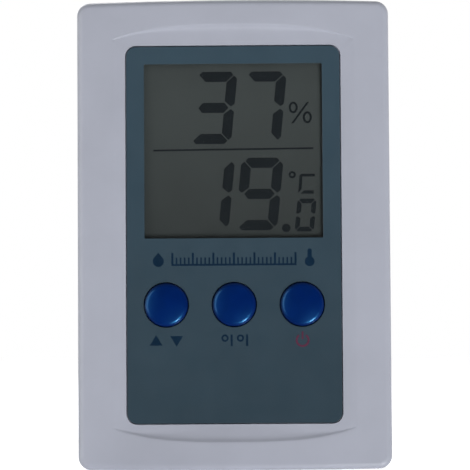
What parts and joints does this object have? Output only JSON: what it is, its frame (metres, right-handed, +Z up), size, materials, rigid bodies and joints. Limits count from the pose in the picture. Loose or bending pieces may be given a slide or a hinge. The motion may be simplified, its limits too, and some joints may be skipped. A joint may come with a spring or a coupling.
{
  "type": "thermo-hygrometer",
  "caption": "Slim upright digital thermo-hygrometer: bowed white housing, teal fascia with a square display over a row of round push buttons, fold-out back leg and wall keyhole.",
  "frame": {"origin": "middle of the footprint, on the plane that the bottom edge stands on", "axes": "+Z up along the height, +X to the right seen from the front, -Y out of the front face, +Y out of the flat back"},
  "size_m": [0.0734, 0.0206, 0.1102],
  "materials": {
    "shell_white": "fine satin texture, pale lilac white",
    "fascia_teal": "satin printed sheet, dark teal grey",
    "clear_lens": "clear polished acrylic",
    "lcd_film": "low-gloss grey-green film",
    "lcd_glass": "polished thin glass",
    "holder_white": "moulded, satin",
    "zebra_rubber": "soft layered silicone",
    "button_blue": "polished, deep blue",
    "black_plastic": "moulded, satin",
    "tinned_steel": "tinned",
    "nickel_steel": "nickel plated",
    "zinc_steel": "zinc plated",
    "board_green": "solder mask over glass laminate",
    "black_epoxy": "moulded resin",
    "chip_ceramic": "fired, matt",
    "capacitor_sleeve": "shrunk sleeve",
    "cell_jacket": "printed wrap on a steel can",
    "red_insulation": "extruded",
    "black_insulation": "extruded"
  },
  "bodies": {
    "case": {"front_housing": "shell_white", "rear_housing": "shell_white", "fascia_panel": "fascia_teal", "window_lens": "clear_lens", "lcd_front_polarizer": "lcd_film", "lcd_rear_polarizer": "lcd_film", "lcd_front_glass": "lcd_glass", "lcd_rear_glass": "lcd_glass", "lcd_holder": "holder_white", "zebra_strip_upper": "zebra_rubber", "zebra_strip_lower": "zebra_rubber", "switch_terminals": "tinned_steel", "circuit_board": "board_green", "controller_blob": "black_epoxy", "clock_crystal": "tinned_steel", "bulk_capacitor": "capacitor_sleeve", "chip_capacitors": "chip_ceramic", "chip_resistors": "black_epoxy", "thermistor": "black_epoxy", "humidity_case": "holder_white", "humidity_element": "chip_ceramic", "board_screws": "zinc_steel", "housing_screws": "zinc_steel", "battery_cell": "cell_jacket", "positive_contact": "nickel_steel", "negative_contact": "nickel_steel", "negative_spring": "nickel_steel", "positive_lead": "red_insulation", "negative_lead": "black_insulation", "switch_cover_max_min": "tinned_steel", "switch_base_max_min": "black_plastic", "switch_cover_units": "tinned_steel", "switch_base_units": "black_plastic", "switch_cover_power": "tinned_steel", "switch_base_power": "black_plastic"},
    "key_max_min": {"button_max_min": "button_blue", "switch_plunger_max_min": "black_plastic"},
    "key_units": {"button_units": "button_blue", "switch_plunger_units": "black_plastic"},
    "key_power": {"button_power": "button_blue", "switch_plunger_power": "black_plastic"},
    "door": {"battery_door": "shell_white"},
    "leg": {"stand_leg": "shell_white"}
  },
  "joints": [
    {"name": "press_max_min", "type": "slide", "parent": "case", "child": "key_max_min", "axis": [0, 1, 0], "range_m": [0, 0.0005], "stiffness_N_per_m": 3000},
    {"name": "press_units", "type": "slide", "parent": "case", "child": "key_units", "axis": [0, 1, 0], "range_m": [0, 0.0005], "stiffness_N_per_m": 3000},
    {"name": "press_power", "type": "slide", "parent": "case", "child": "key_power", "axis": [0, 1, 0], "range_m": [0, 0.0005], "stiffness_N_per_m": 3000},
    {"name": "door_swing", "type": "hinge", "parent": "case", "child": "door", "pos_m": [0, 0.01025, 0.01005], "axis": [-1, 0, 0], "range_deg": [0, 50]},
    {"name": "leg_fold", "type": "hinge", "parent": "case", "child": "leg", "pos_m": [0, 0.00865, 0.0336], "axis": [-1, 0, 0], "range_deg": [0, 125]}
  ]
}
